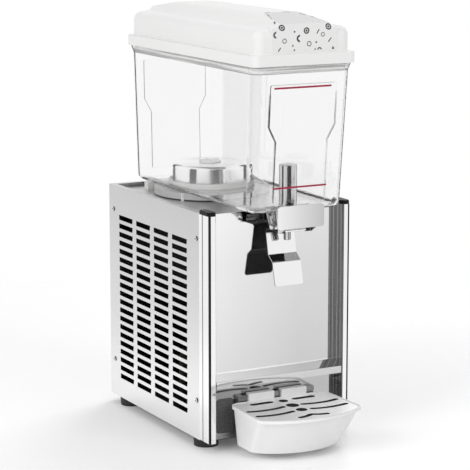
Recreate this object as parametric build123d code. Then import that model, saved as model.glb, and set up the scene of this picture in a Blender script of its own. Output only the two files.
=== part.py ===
"""Refrigerated cold drink dispenser: steel cabinet, clear bowl, lid, push tap and drip tray.

Sizes are in millimetres. Y runs from the front (negative) to the back, X to the right, Z up.
While modelling, Y = 0 is the front face of the posts; the export moves the origin to the
middle of the footprint, on the floor.
"""
import os
from math import cos, radians, sin

from build123d import *

# Cabinet shell
cab_width = 265.0
cab_depth = 383.0
cab_height = 382.0
sheet = 1.2
pan_sheet = 1.5
pan_lip = 14.0
top_flange = 10.0
panel_fit = 0.3

# Feet
foot_height = 15.0
foot_radius = 21.5
foot_toe_radius = 20.5
foot_inset = 22.0
foot_front_y = 55.0
foot_rear_gap = 41.0

# Front posts, their corner strips and caps
post_width = 13.0
post_depth = 36.0
post_edge_radius = 2.0
strip_size = 3.2
strip_sink = 0.3
groove_y = 23.5
groove_width = 1.6
groove_depth = 0.7
cap_height = 6.5
cap_overhang = 1.5
cap_edge_radius = 2.0

# Corner uprights inside the cabinet
upright_width = 22.0
upright_sheet = 1.5

# Side louvres
slot_rows = 20
slot_columns = 4
slot_length = 55.5
slot_height = 8.8
slot_slant = 1.6
slot_pitch_y = 69.4
slot_pitch_z = 15.15
slot_front_y = 79.0
slot_top_drop = 50.0

# Panel screws
screw_head_radius = 4.2
screw_head_height = 1.8
screw_cross_length = 5.0
screw_cross_width = 1.3
screw_cross_depth = 1.2
screw_shank_radius = 1.9
screw_hole_radius = 2.0
screw_front_y = 46.0
screw_rear_gap = 17.0
screw_top_drop = 43.0
screw_bottom_rise = 66.0

# Polished front panel with its sill, and the panel below it
panel_recess = 23.4
panel_top_gap = 1.0
sill_z = 127.4
sill_depth = 23.4
sill_drop = 8.0
lip_height = 11.5
bend_radius = 1.5
lower_recess = 21.0
lower_top_gap = 6.0
vent_edge_gap = 9.2
vent_width = 33.0
vent_bottom = 26.0
vent_height = 59.0
vent_radius = 6.0
filter_margin = 4.0
filter_thick = 5.0

# Rear panel
rear_slot_rows = 9
rear_slot_x = 72.0
rear_slot_width = 78.0
rear_slot_height = 6.0
rear_slot_pitch = 13.0
rear_slot_rise = 90.0

# Top deck and what stands on it
deck_drop = 6.0
pad_width = 18.0
pad_depth = 14.0
pad_x = 76.0
pad_front_y = 196.0
pad_rear_y = 330.0
collar_width = 24.0
seat_gap = 0.3

# Evaporator drum
evap_y = 246.0
evap_radius = 65.2
evap_height = 54.0
evap_wall = 1.2
evap_edge_radius = 7.0
evap_flange = 10.0
evap_groove_height = 2.4
evap_groove_drop = 8.0
evap_groove_depth = 0.5
deck_hole_inset = 12.0

# Stirrer on the drum and its drive inside
impeller_radius = 19.0
impeller_thick = 2.5
impeller_vanes = 4
vane_height = 2.0
vane_thick = 2.0
magnet_radius = 40.0
magnet_thick = 7.0
magnet_gap = 1.5
stirrer_shaft_radius = 4.0
stirrer_motor_radius = 30.0
stirrer_motor_height = 62.0
stirrer_motor_edge = 3.0
stirrer_bar_width = 26.0
stirrer_bar_thick = 3.0
stirrer_bar_reach = 14.0
run_fit = 0.05

# Clear bowl
bowl_gap = 13.0
bowl_height = 226.0
bowl_width_bottom = 172.0
bowl_width_top = 180.0
bowl_foot_front = -56.0
bowl_head_front = -74.0
bowl_foot_rear = 376.0
bowl_head_rear = 382.0
bowl_wall = 3.0
bowl_corner_radius = 20.0
bowl_floor_radius = 12.0
rim_height = 12.0
rim_flare = 3.6
relief_depth = 2.5
relief_top_half = 61.0
relief_low_half = 48.0
relief_top_rise = 209.0
relief_knee_high = 141.0
relief_knee_low = 117.0
relief_bottom_rise = 16.0
collar_rise = 10.0
seal_width = 4.0
seal_height = 8.0

# Outlet nose under the bowl
nose_front = -65.0
nose_rear_top = -5.0
nose_rear_foot = -9.5
nose_half_top = 41.0
nose_half_foot = 32.0
nose_radius_top = 20.0
nose_radius_foot = 16.0
nose_drop = 34.0
nose_slant_rise = 9.0
nose_slant_end = -13.0
tunnel_height = 13.0
tunnel_fit = 0.5
nose_brow_half = 41.0
nose_brow_rise = 10.0
outlet_radius = 9.0
outlet_y = -21.0

# Valve plunger
plunger_radius = 14.6
plunger_height = 67.5
plunger_edge_radius = 2.0
stem_radius = 6.1
stem_drop = 55.3
seal_ring_radius = 13.0
seal_ring_thick = 2.2
stem_collar_radius = 10.0
stem_collar_height = 2.4

# Tap cover, pivot pin and push lever
cover_half = 43.0
cover_thick = 1.8
cover_bottom_drop = 26.0
cover_height = 37.5
cover_corner_radius = 5.0
lug_thick = 2.4
lug_gap = 1.2
lug_tip = 3.0
lug_rise = 3.5
pivot_y = -47.0
pivot_drop = 32.6
pivot_radius = 2.0
pin_overhang = 0.2
lever_width = 52.6
lever_sheet = 1.2
knuckle_radius = 3.4
ear_width = 6.0
web_front_y = -30.0
arm_top_y = 3.5
ledge_rear_y = -5.5
ledge_rear_drop = 78.7
ledge_front_y = -19.5
ledge_front_drop = 89.0
paddle_y = -29.0
paddle_drop = 127.0
lever_bend = 4.0
lever_corner_radius = 4.0
stem_hole_radius = 8.0
plate_drop = 42.5
backing_thick = 1.3
backing_gap = 0.1

# Lid
lid_gap = 0.3
lid_overhang = 1.4
lid_flange_height = 18.0
lid_flange_radius = 12.0
lid_inset = 7.0
lid_body_height = 41.0
lid_body_radius = 16.0
lid_edge_radius = 15.0
lid_wall = 3.0
lid_skirt_drop = 11.5
lid_skirt_wall = 2.5
lid_skirt_fit = 1.0
ridge_half_base = 59.0
ridge_half_top = 26.5
ridge_height = 19.2
ridge_end_height = 7.0
ridge_end_run = 79.0
ridge_root = 0.8
apron_proud = 1.0

# Drip tray and its rail
tray_rim_z = 78.0
tray_bottom_z = 12.0
tray_rear = 9.0
tray_rear_foot = 5.0
tray_half_rear = 92.0
tray_half_front = 97.0
tray_side_front = -104.0
tray_front = -135.0
tray_half_foot = 86.0
tray_side_front_foot = -60.0
tray_front_foot = -95.5
tray_wall = 2.5
tray_corner_radius = 17.0
tray_foot_radius = 20.0
tray_lip = 2.5
tray_lip_height = 5.0
grille_sink = 1.6
grille_thick = 1.0
grille_fit = 0.5
rail_half = 72.0
rail_thick = 2.5
rail_height = 16.0
rail_top_z = 87.6
rail_gap = 0.4
rail_foot = 10.0
hook_inner = 7.0
hook_width = 48.0
hook_thick = 3.0
hook_lip = 7.0

# Grille openings
grille_slot_width = 9.0
grille_rear_inner = 18.0
grille_rear_outer = 62.0
grille_rear_width = 11.0
grille_rear_y = -9.0
arc_slot_inner = 18.5
arc_slot_outer = 83.0
arc_slot_first_y = -44.0
arc_slot_pitch = 31.0
arc_slot_bow = 5.0
nose_slot_inner = 1.0
nose_slot_outer = 25.0
nose_slot_y = -104.0
nose_slot_sweep = 8.0
drain_radii = (8.0, 11.0, 9.5)
drain_front_step = 30.0
drain_rear_y = -12.0

# Refrigeration set
cond_width = 190.0
cond_height = 190.0
cond_depth = 40.0
cond_y = 70.0
cond_fins = 16
cond_fin_sheet = 0.8
cond_tubes = 6
cond_tube_radius = 4.0
header_radius = 5.0
header_gap = 1.0
shroud_hole_radius = 82.0
shroud_ring_depth = 18.0
shroud_ring_wall = 2.0
fan_radius = 78.0
fan_hub_radius = 18.0
fan_blades = 5
fan_blade_width = 44.0
fan_blade_thick = 2.0
fan_blade_pitch = 24.0
fan_depth = 18.0
fan_gap = 4.0
fan_motor_radius = 27.0
fan_motor_length = 40.0
fan_motor_edge = 4.0
fan_shaft_radius = 3.0
bracket_bar_width = 12.0
bracket_thick = 3.0
bracket_leg = 10.0
bracket_leg_inset = 8.0
bracket_stand = 26.0
comp_x = 35.0
comp_y = 285.0
comp_radius = 58.0
comp_height = 150.0
comp_edge_radius = 28.0
comp_seam_proud = 3.0
comp_seam_height = 6.0
comp_foot_height = 12.0
comp_foot_radius = 10.0
comp_base_half_x = 70.0
comp_base_half_y = 48.0
comp_base_sheet = 3.0
comp_stub_x = 18.0
comp_stub_radius = 5.0
comp_stub_rise = 8.0
pipe_radius = 3.2
pipe_bend = 14.0
pipe_rise = 40.0
suction_y = 204.0
suction_rise = 18.0
drier_radius = 9.0
drier_length = 80.0
drier_x = -70.0
drier_y = 215.0
drier_stand = 20.0
drier_foot = 26.0

# Controls and inlet on the rear panel
knob_radius = 14.0
knob_length = 11.0
knob_gap = 0.6
knob_edge_radius = 1.5
knob_mark_width = 2.0
knob_mark_depth = 1.2
knob_side_gap = 52.5
knob_z = 320.0
thermostat_width = 42.0
thermostat_height = 32.0
thermostat_depth = 26.0
dial_shaft_radius = 3.0
switch_z = 320.0
switch_dial_gap = 10.0
switch_pitch = 30.0
switch_width = 18.0
switch_height = 24.0
switch_depth = 22.0
switch_bezel = 2.5
switch_bezel_proud = 1.6
rocker_fit = 0.8
rocker_thick = 6.0
rocker_tilt = 8.0
rocker_pin_radius = 1.0
rocker_pin_reach = 1.2
inlet_side_gap = 52.5
inlet_z = 320.0
inlet_width = 48.0
inlet_height = 24.0
inlet_flange = 4.0
inlet_flange_thick = 2.0
inlet_depth = 24.0
inlet_wall = 3.0
inlet_blade_width = 2.0
inlet_blade_height = 4.5

# Levels and faces worked out from the sizes above
half = cab_width / 2
z_bottom = foot_height
z_floor = z_bottom + pan_sheet
z_top = z_bottom + cab_height
inner_half = half - sheet
rear_face = cab_depth - sheet
front_half = half - post_width - panel_fit
deck_z = z_top - deck_drop
deck_under = deck_z - sheet
bowl_z = deck_z + bowl_gap
bowl_floor_top = bowl_z + bowl_wall
wall_top_z = bowl_z + bowl_height
rim_z = wall_top_z + rim_height
evap_top = deck_z + evap_height
nose_bottom = bowl_z - nose_drop
tunnel_top = nose_bottom + tunnel_height
pivot_z = bowl_z - pivot_drop
web_low = pivot_z - knuckle_radius
web_top = web_low + backing_thick
lever_half = lever_width / 2
hole_radius = evap_radius + seal_width
lid_z = rim_z + lid_gap
lid_half = bowl_width_top / 2 + rim_flare + lid_overhang
lid_front = bowl_head_front - rim_flare - lid_overhang
lid_rear = bowl_head_rear + rim_flare + lid_overhang
flange_top = lid_z + lid_flange_height
body_top = flange_top + lid_body_height
ridge_top = body_top + ridge_height
rail_y = tray_rear + hook_thick + rail_gap
fan_y = cond_y + cond_depth + sheet + fan_gap
fan_z = z_floor + cond_height / 2
bracket_y = cond_y + cond_depth + sheet + bracket_stand
comp_z = z_floor + comp_foot_height + comp_base_sheet
comp_top = comp_z + comp_height
knob_x = half - knob_side_gap
cooling_switch_x = knob_x - thermostat_width / 2 - switch_dial_gap - switch_width / 2
switch_xs = (cooling_switch_x - switch_pitch, cooling_switch_x)
inlet_x = inlet_side_gap - half
y_shift = -(tray_front + cab_depth + knob_gap + knob_length) / 2


def block(x, y, z):
    """Box between a pair of limits along each axis."""
    limits = (x, y, z)
    size = [high - low for low, high in limits]
    centre = [(high + low) / 2 for low, high in limits]
    return Pos(*centre) * Box(*size)


def post(x, y, z, radius):
    """Upright cylinder at x, y between two levels."""
    return Pos(x, y, sum(z) / 2) * Cylinder(radius, z[1] - z[0])


def rod_x(x, y, z, radius):
    """Cylinder along X between two limits."""
    return Pos(sum(x) / 2, y, z) * Rot(0, 90, 0) * Cylinder(radius, x[1] - x[0])


def rod_y(x, y, z, radius):
    """Cylinder along Y between two limits."""
    return Pos(x, sum(y) / 2, z) * Rot(90, 0, 0) * Cylinder(radius, y[1] - y[0])


def bent_sheet(points, radius, thick, half_width):
    """Folded strip: a path of (y, z) points given thickness on its left and extruded along X."""
    path = FilletPolyline(*points, radius=radius)
    section = make_face(offset(path, amount=thick, side=Side.LEFT))
    return extrude(Plane.YZ * section, amount=half_width, both=True)


def plate_x(points, x):
    """Flat piece with an outline of (y, z) points, between two limits along X."""
    outline = Plane.YZ.offset(x[0]) * Polygon(*points, align=None)
    return extrude(outline, amount=x[1] - x[0], dir=(1, 0, 0))


def other_side(shape):
    """Mirror image across the middle plane."""
    return mirror(shape, about=Plane.YZ)


def rounded_slab(half_x, front, rear, z, radius):
    """Upright block with rounded corners in plan."""
    outline = RectangleRounded(2 * half_x, rear - front, radius)
    return extrude(Pos(0, (front + rear) / 2, z[0]) * outline, amount=z[1] - z[0])


def tapered_block(low, high, radius):
    """Loft between two rounded rectangles, each given as (half width, front, rear, level)."""
    faces = []
    for half_x, front, rear, level in (low, high):
        outline = RectangleRounded(2 * half_x, rear - front, radius)
        faces.append(Pos(0, (front + rear) / 2, level) * outline)
    return loft(faces, ruled=True)


# Cabinet shell

def base_pan():
    plate = block((-inner_half, inner_half), (0, rear_face), (z_bottom, z_floor))
    plate -= block((-front_half, front_half), (0, lower_recess), (z_bottom, z_floor))
    lip_y = (post_depth + upright_width + panel_fit, rear_face - upright_width - panel_fit)
    lip = block((inner_half - pan_sheet, inner_half), lip_y, (z_floor, z_floor + pan_lip))
    return plate + lip + other_side(lip)


def foot(x, y):
    pad = Cone(foot_toe_radius, foot_radius, foot_height)
    return Pos(x, y, foot_height / 2) * pad


def screw_points():
    """Places of the screws on one side panel, as (y, z)."""
    ys = (screw_front_y, cab_depth - screw_rear_gap)
    zs = (z_bottom + screw_bottom_rise, z_top - screw_top_drop)
    return [(y, z) for y in ys for z in zs]


def louvres():
    """Grid of slots with a slanted front end, on the YZ plane."""
    slot = Polygon(
        (slot_slant, 0), (slot_length, 0), (slot_length, slot_height), (0, slot_height), align=Align.MIN
    )
    top = z_top - slot_top_drop - slot_height
    slots = Sketch()
    for column in range(slot_columns):
        for row in range(slot_rows):
            y = slot_front_y + column * slot_pitch_y
            slots += Pos(y, top - row * slot_pitch_z) * slot
    return slots


def side_panel():
    y = (post_depth, cab_depth)
    panel = block((inner_half, half), y, (z_bottom, z_top))
    flange_y = (post_depth, rear_face - panel_fit)
    panel += block((half - top_flange, half), flange_y, (z_top - sheet, z_top))
    panel -= extrude(Plane.YZ.offset(inner_half) * louvres(), amount=sheet)
    for y, z in screw_points():
        panel -= rod_x((inner_half, half), y, z, screw_hole_radius)
    return panel


def panel_screws():
    """All side panel screws: crossed heads outside, shanks through the uprights."""
    screws = Part()
    long = screw_cross_length / 2
    short = screw_cross_width / 2
    cross_x = (half + screw_head_height - screw_cross_depth, half + screw_head_height)
    for y, z in screw_points():
        head = rod_x((half, half + screw_head_height), y, z, screw_head_radius)
        rim = head.faces().sort_by(Axis.X)[-1].edges()
        head = fillet(rim, screw_head_height * 0.6)
        for wide, tall in ((long, short), (short, long)):
            head -= block(cross_x, (y - wide, y + wide), (z - tall, z + tall))
        shank = rod_x((inner_half - upright_sheet, half), y, z, screw_shank_radius)
        screw = head + shank
        screws += [screw, other_side(screw)]
    return screws


def upright(rear):
    """Angle section in a corner, from the base pan to the deck."""
    z = (z_floor, deck_under)
    y = (rear_face - upright_width, rear_face) if rear else (post_depth, post_depth + upright_width)
    web_y = (rear_face - upright_sheet, rear_face) if rear else (post_depth, post_depth + upright_sheet)
    angle = block((inner_half - upright_sheet, inner_half), y, z)
    angle += block((inner_half - upright_width, inner_half), web_y, z)
    for screw_y, screw_z in screw_points():
        angle -= rod_x((inner_half - upright_sheet, inner_half), screw_y, screw_z, screw_hole_radius)
    return angle


def rear_panel():
    y = (rear_face, cab_depth)
    panel = block((-inner_half, inner_half), y, (z_bottom, z_top))
    flange_half = half - top_flange - panel_fit
    panel += block((-flange_half, flange_half), (cab_depth - top_flange, cab_depth), (z_top - sheet, z_top))
    slot_x = (rear_slot_x - rear_slot_width / 2, rear_slot_x + rear_slot_width / 2)
    for row in range(rear_slot_rows):
        low = z_bottom + rear_slot_rise + row * rear_slot_pitch
        panel -= block(slot_x, y, (low, low + rear_slot_height))
    for x in switch_xs:
        panel -= cutout(x, switch_z, switch_width, switch_height)
    panel -= cutout(inlet_x, inlet_z, inlet_width, inlet_height)
    panel -= rod_y(knob_x, y, knob_z, dial_shaft_radius + panel_fit)
    return panel


def cutout(x, z, width, height):
    """Rectangular hole in the rear panel, a fit larger than the body that goes through it."""
    wide = width / 2 + panel_fit
    tall = height / 2 + panel_fit
    return block((x - wide, x + wide), (rear_face, cab_depth), (z - tall, z + tall))


def front_panel():
    lip_y = panel_recess - sill_depth
    lip_z = sill_z - sill_drop
    points = [(panel_recess, z_top - panel_top_gap), (panel_recess, sill_z)]
    points += [(lip_y, lip_z), (lip_y, lip_z - lip_height)]
    return bent_sheet(points, bend_radius, sheet, front_half)


def lower_front_panel():
    y = (lower_recess, lower_recess + sheet)
    panel = block((-front_half, front_half), y, (z_floor, sill_z - lower_top_gap))
    return panel - vent_block(0, y)


def vent_block(margin, y):
    """Rounded block through the air opening, larger than it by a margin."""
    middle = vent_edge_gap + vent_width / 2 - front_half
    form = RectangleRounded(vent_width + 2 * margin, vent_height + 2 * margin, vent_radius)
    form = Pos(middle, vent_bottom + vent_height / 2) * form
    return extrude(Plane.XZ.offset(-y[1]) * form, amount=y[1] - y[0])


def vent_filters():
    """Foam pad behind the air opening of the lower panel."""
    back = lower_recess + sheet
    return vent_block(filter_margin, (back, back + filter_thick))


def tray_rail():
    """Bar that the drip tray hangs on, on two feet."""
    z = (rail_top_z - rail_height, rail_top_z)
    back = rail_y + rail_thick
    rail = block((-rail_half, rail_half), (rail_y, back), z)
    foot_block = block((rail_half - rail_foot, rail_half), (back, lower_recess), z)
    return rail + foot_block + other_side(foot_block)


def front_post():
    section = Pos(half - post_width / 2, post_depth / 2) * Rectangle(post_width, post_depth)
    inner_edge = section.vertices().sort_by(Axis.X)[:2].sort_by(Axis.Y)[0]
    section = fillet(inner_edge, post_edge_radius)
    section -= Pos(half - strip_size / 2, strip_size / 2) * Rectangle(strip_size, strip_size)
    section -= Pos(half, groove_y) * Rectangle(2 * groove_depth, groove_width)
    return extrude(Pos(0, 0, z_floor) * section, amount=z_top - z_floor)


def corner_strip():
    x = (half - strip_size, half - strip_sink)
    return block(x, (strip_sink, strip_size), (z_floor, z_top))


def post_cap():
    width = post_width + 2 * cap_overhang
    depth = post_depth + 2 * cap_overhang
    outline = RectangleRounded(width, depth, width / 2 - 0.1)
    cap = extrude(Pos(half - post_width / 2, post_depth / 2, z_top) * outline, amount=cap_height)
    return fillet(cap.faces().sort_by(Axis.Z)[-1].edges(), cap_edge_radius)


def top_deck():
    z = (deck_under, deck_z)
    deck = block((-inner_half, inner_half), (post_depth, rear_face), z)
    deck += block((-front_half, front_half), (panel_recess + sheet, post_depth), z)
    return deck - post(0, evap_y, z, evap_radius - deck_hole_inset)


def deck_pads():
    pads = Part()
    for y in (pad_front_y, pad_rear_y):
        pad = block(
            (pad_x - pad_width / 2, pad_x + pad_width / 2),
            (y - pad_depth / 2, y + pad_depth / 2),
            (deck_z, bowl_z - seat_gap),
        )
        pads += [pad, other_side(pad)]
    ring_radius = evap_radius + evap_flange + seat_gap + collar_width
    core = post(0, evap_y, (deck_z, bowl_z), ring_radius + panel_fit)
    return pads - core


# Evaporator drum and stirrer

def evaporator_drum():
    drum = post(0, evap_y, (deck_z, evap_top), evap_radius)
    drum = fillet(drum.edges().sort_by(Axis.Z)[-1], evap_edge_radius)
    drum += post(0, evap_y, (deck_z, deck_z + evap_wall), evap_radius + evap_flange)
    groove_top = evap_top - evap_groove_drop
    groove_z = (groove_top - evap_groove_height, groove_top)
    groove = post(0, evap_y, groove_z, evap_radius)
    drum -= groove - post(0, evap_y, groove_z, evap_radius - evap_groove_depth)
    hollow = post(0, evap_y, (deck_z, evap_top - evap_wall), evap_radius - evap_wall)
    return drum - fillet(hollow.edges().sort_by(Axis.Z)[-1], evap_edge_radius - evap_wall)


def deck_collar():
    """Ring that carries the bowl round the drum."""
    inner = evap_radius + evap_flange + seat_gap
    z = (deck_z, bowl_z - seat_gap)
    return post(0, evap_y, z, inner + collar_width) - post(0, evap_y, z, inner)


def stirrer_impeller():
    low = evap_top + seat_gap
    high = low + impeller_thick
    wheel = post(0, evap_y, (low, high), impeller_radius)
    wheel = fillet(wheel.edges().sort_by(Axis.Z)[-1], impeller_thick * 0.6)
    vane = block((0, impeller_radius - vane_thick), (-vane_thick / 2, vane_thick / 2), (0, vane_height))
    for step in range(impeller_vanes):
        wheel += Pos(0, evap_y, high) * Rot(0, 0, step * 360 / impeller_vanes) * vane
    return wheel


def magnet_levels():
    top = evap_top - evap_wall - magnet_gap
    return top - magnet_thick, top


def drive_magnet():
    low, high = magnet_levels()
    return post(0, evap_y, (low, high), magnet_radius)


def stirrer_motor_levels():
    top = deck_under - stirrer_bar_thick
    return top - stirrer_motor_height, top


def stirrer_shaft():
    low = magnet_levels()[0]
    high = stirrer_motor_levels()[1]
    return post(0, evap_y, (high - stirrer_motor_height / 2, low), stirrer_shaft_radius)


def stirrer_motor():
    """Motor can with a mounting bar under the deck and a bore for the shaft."""
    low, high = stirrer_motor_levels()
    motor = post(0, evap_y, (low, high), stirrer_motor_radius)
    motor = fillet(motor.edges().sort_by(Axis.Z)[0], stirrer_motor_edge)
    reach = evap_radius - deck_hole_inset + stirrer_bar_reach
    bar_y = (evap_y - stirrer_bar_width / 2, evap_y + stirrer_bar_width / 2)
    motor += block((-reach, reach), bar_y, (high, deck_under))
    bore_z = (high - stirrer_motor_height / 2, deck_under)
    return motor - post(0, evap_y, bore_z, stirrer_shaft_radius + run_fit)


# Bowl

def bowl_sections(inset):
    """Low, high and rim outlines of the bowl, moved inward by a wall."""
    low = (bowl_width_bottom / 2 - inset, bowl_foot_front + inset, bowl_foot_rear - inset)
    high = (bowl_width_top / 2 - inset, bowl_head_front + inset, bowl_head_rear - inset)
    rim = (high[0] + rim_flare, high[1] - rim_flare, high[2] + rim_flare)
    return low, high, rim


def bowl_form(inset, floor):
    """Tapered tub with a flared rim, as a solid."""
    low, high, rim = bowl_sections(inset)
    radius = bowl_corner_radius - inset
    tub = tapered_block((*low, floor), (*high, wall_top_z), radius)
    floor_edges = tub.faces().sort_by(Axis.Z)[0].edges()
    tub = fillet(floor_edges, bowl_floor_radius - inset)
    return tub + tapered_block((*high, wall_top_z), (*rim, rim_z), radius)


def wall_relief(foot_y, head_y, outward):
    """Shallow panel on the front or rear wall, wide above and narrow below."""
    rise = Vector(0, head_y - foot_y, bowl_height)
    normal = Vector(0, outward * bowl_height, -outward * (head_y - foot_y)).normalized()
    across = rise.cross(normal)
    plane = Plane(origin=(0, foot_y, bowl_z), x_dir=across, z_dir=normal)
    outline = Polygon(
        (-relief_low_half, relief_bottom_rise), (relief_low_half, relief_bottom_rise),
        (relief_low_half, relief_knee_low), (relief_top_half, relief_knee_high),
        (relief_top_half, relief_top_rise), (-relief_top_half, relief_top_rise),
        (-relief_top_half, relief_knee_high), (-relief_low_half, relief_knee_low),
        align=None,
    )
    outline = fillet(outline.vertices(), bowl_wall)
    return extrude(plane * outline, amount=relief_depth) + extrude(plane * outline, amount=-bowl_wall / 2)


def nose_outline(half_x, rear, radius, level):
    """Nose outline in plan, with its two rear corners rounded."""
    outline = Pos(0, (nose_front + rear) / 2) * Rectangle(2 * half_x, rear - nose_front)
    return Pos(0, 0, level) * fillet(outline.vertices().sort_by(Axis.Y)[-2:], radius)


def outlet_nose():
    """Moulded block under the floor with a tunnel for the lever, and a brow in front of the wall."""
    low = nose_outline(nose_half_foot, nose_rear_foot, nose_radius_foot, nose_bottom)
    high = nose_outline(nose_half_top, nose_rear_top, nose_radius_top, bowl_z)
    nose = loft([low, high], ruled=True)
    slant_top = nose_bottom + nose_slant_rise
    slant = [(nose_front, nose_bottom), (nose_front, slant_top), (nose_slant_end, nose_bottom)]
    nose -= plate_x(slant, (-nose_half_top, nose_half_top))
    tunnel_half = lug_limits()[1] + tunnel_fit
    nose -= block((-tunnel_half, tunnel_half), (nose_front, nose_rear_top), (nose_bottom, tunnel_top))
    back = bowl_foot_front + bowl_floor_radius + bowl_wall
    root = block((-nose_half_foot, nose_half_foot), (back, nose_rear_foot), (bowl_z, bowl_floor_top))
    brow = block((-nose_brow_half, nose_brow_half), (nose_front, back), (bowl_z, bowl_z + nose_brow_rise))
    return nose + root + brow


def bowl():
    shell = bowl_form(0, bowl_z)
    shell += wall_relief(bowl_foot_front, bowl_head_front, -1)
    shell += wall_relief(bowl_foot_rear, bowl_head_rear, 1)
    shell += outlet_nose()
    shell -= bowl_form(bowl_wall, bowl_floor_top)
    collar_top = bowl_floor_top + collar_rise
    shell += post(0, evap_y, (bowl_z, collar_top), hole_radius + bowl_wall)
    shell -= post(0, evap_y, (bowl_z, collar_top), hole_radius)
    return shell - post(0, outlet_y, (nose_bottom, bowl_floor_top), outlet_radius)


def bowl_seal():
    """Soft ring between the bowl's floor hole and the drum."""
    z = (bowl_z, bowl_z + seal_height)
    ring = post(0, evap_y, z, hole_radius) - post(0, evap_y, z, evap_radius + seat_gap)
    crown = post(0, evap_y, (z[1], z[1] + seal_width), hole_radius)
    crown -= Pos(0, evap_y, z[1] + seal_width / 2) * Cone(
        evap_radius + seat_gap, hole_radius, seal_width
    )
    return ring + crown


# Tap

def valve_plunger():
    """Heavy plunger that shuts the outlet by its own weight, with its stem."""
    low = bowl_floor_top + seal_ring_thick + seat_gap
    body = post(0, outlet_y, (low, low + plunger_height), plunger_radius)
    body = fillet(body.edges().sort_by(Axis.Z)[-1], plunger_edge_radius)
    stem = post(0, outlet_y, (bowl_floor_top - stem_drop, low), stem_radius)
    return body + chamfer(stem.edges().sort_by(Axis.Z)[0], 0.8)


def plunger_seal():
    low = bowl_floor_top + seat_gap
    z = (low, low + seal_ring_thick)
    return post(0, outlet_y, z, seal_ring_radius) - post(0, outlet_y, z, stem_radius)


def stem_collar():
    """Ring on the stem that the lever lifts."""
    z = (web_top + seat_gap, web_top + seat_gap + stem_collar_height)
    return post(0, outlet_y, z, stem_collar_radius) - post(0, outlet_y, z, stem_radius)


def lug_limits():
    inner = lever_half + lug_gap
    return inner, inner + lug_thick


def tap_cover():
    """Front plate with two lugs that reach back under the nose to the pivot pin."""
    low = bowl_z - cover_bottom_drop
    back = nose_front
    plate = RectangleRounded(2 * cover_half, cover_height, cover_corner_radius)
    plate = Pos(0, low + cover_height / 2) * plate
    cover = extrude(Plane.XZ.offset(-back) * plate, amount=cover_thick)
    outline = [
        (back, low), (back, low + lug_rise), (pivot_y + lug_tip, low + lug_rise),
        (pivot_y + lug_tip, pivot_z - lug_tip), (pivot_y - lug_tip, pivot_z - lug_tip),
    ]
    inner, outer = lug_limits()
    lug = plate_x(outline, (inner, outer))
    cover += lug + other_side(lug)
    return cover - rod_x((-outer, outer), pivot_y, pivot_z, pivot_radius)


def pivot_pin():
    reach = lug_limits()[1] + pin_overhang
    return rod_x((-reach, reach), pivot_y, pivot_z, pivot_radius)


def lever_strip(start, thick, side):
    """Strip bent over the ledge and down the paddle, thickened to one side of its path."""
    points = start + [
        (ledge_rear_y, bowl_z - ledge_rear_drop),
        (ledge_front_y, bowl_z - ledge_front_drop),
        (paddle_y, bowl_z - paddle_drop),
    ]
    path = FilletPolyline(*points, radius=lever_bend)
    section = make_face(offset(path, amount=thick, side=side))
    strip = extrude(Plane.YZ * section, amount=lever_half, both=True)
    foot_edges = strip.edges().filter_by(Axis.X, reverse=True).sort_by(Axis.Z)
    corners = [edge for edge in foot_edges[:4] if edge.length < 2 * thick]
    return fillet(corners, lever_corner_radius)


def push_lever():
    """Bent steel plate on the front of the lever: arm, ledge and paddle."""
    ledge_rear_z = bowl_z - ledge_rear_drop
    start_z = bowl_z - plate_drop
    share = (start_z - ledge_rear_z) / (web_low - ledge_rear_z)
    start_y = ledge_rear_y + share * (arm_top_y - ledge_rear_y)
    return lever_strip([(start_y, start_z)], lever_sheet, Side.RIGHT)


def lever_backing():
    """Moulded rear of the lever: two ears on the pin, web under the stem collar, pad behind the plate."""
    strip = lever_strip([(pivot_y, web_low), (arm_top_y, web_low)], backing_thick, Side.LEFT)
    lever = Pos(0, backing_gap, 0) * strip
    lever += rod_x((-lever_half, lever_half), pivot_y, pivot_z, knuckle_radius)
    lever -= rod_x((-lever_half, lever_half), pivot_y, pivot_z, pivot_radius + run_fit)
    inner = lever_half - ear_width
    gap_z = (web_low, pivot_z + knuckle_radius)
    lever -= block((-inner, inner), (pivot_y - knuckle_radius, web_front_y), gap_z)
    web_z = (web_low, web_top)
    lever -= block((-stem_hole_radius, stem_hole_radius), (web_front_y, outlet_y), web_z)
    return lever - post(0, outlet_y, web_z, stem_hole_radius)


# Lid

def ridge(shrink, front, rear, low, high):
    """Bell section along the lid, with its two ends sloping down."""
    foot_half = ridge_half_base - shrink
    top_half = ridge_half_top
    shoulder = body_top - shrink
    root = shoulder - ridge_root
    mid = (foot_half + top_half) / 2
    right = Bezier((foot_half, root), (mid, root), (mid, high), (top_half, high))
    left = Bezier((-top_half, high), (-mid, high), (-mid, root), (-foot_half, root))
    sides = Polyline((-foot_half, root), (-foot_half, low), (foot_half, low), (foot_half, root))
    section = make_face([right, Line((top_half, high), (-top_half, high)), left, sides])
    bell = extrude(Plane.XZ.offset(-rear) * section, amount=rear - front)
    end = shoulder + ridge_end_height
    profile = Polygon(
        (front, low), (rear, low), (rear, end), (rear - ridge_end_run, high),
        (front + ridge_end_run, high), (front, end), align=None,
    )
    return bell & extrude(Plane.YZ * profile, amount=foot_half, both=True)


def lid_form(shrink):
    """Outer form of the lid above its flange, moved inward by a wall."""
    front = lid_front + lid_inset + shrink
    rear = lid_rear - lid_inset - shrink
    low = flange_top - shrink
    half_x = lid_half - lid_inset - shrink
    box = rounded_slab(half_x, front, rear, (low, body_top - shrink), lid_body_radius - shrink)
    box = fillet(box.faces().sort_by(Axis.Z)[-1].edges(), lid_edge_radius - shrink)
    return box + ridge(shrink, front - apron_proud, rear + apron_proud, low, ridge_top - shrink)


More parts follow.
